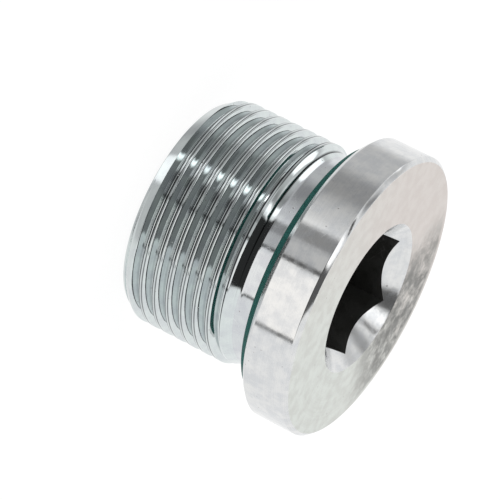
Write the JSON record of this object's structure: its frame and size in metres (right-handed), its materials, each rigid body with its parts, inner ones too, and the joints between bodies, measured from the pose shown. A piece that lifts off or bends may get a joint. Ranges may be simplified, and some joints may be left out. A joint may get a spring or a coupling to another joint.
{
  "type": "hex socket plug",
  "caption": "Round-headed screw plug with a countersunk hexagon socket, a relieved neck with a rubber seal ring under the head, and a threaded shank that closes a port.",
  "frame": {"origin": "middle of the tip face that the plug stands on, at the bottom of the shank", "axes": "+Z along the plug's axis from the tip to the head, X square to two flats of the hexagon socket"},
  "size_m": [0.0295, 0.0294, 0.021],
  "materials": {
    "zinc_plated_steel": "bright zinc plating over turned steel: polished threads and relief, fine turning marks on the head, satin mottled front face",
    "seal_rubber": "moulded green fluoro rubber, satin"
  },
  "bodies": {
    "root": {"plug_body": "zinc_plated_steel", "seal_ring": "seal_rubber"}
  },
  "joints": []
}
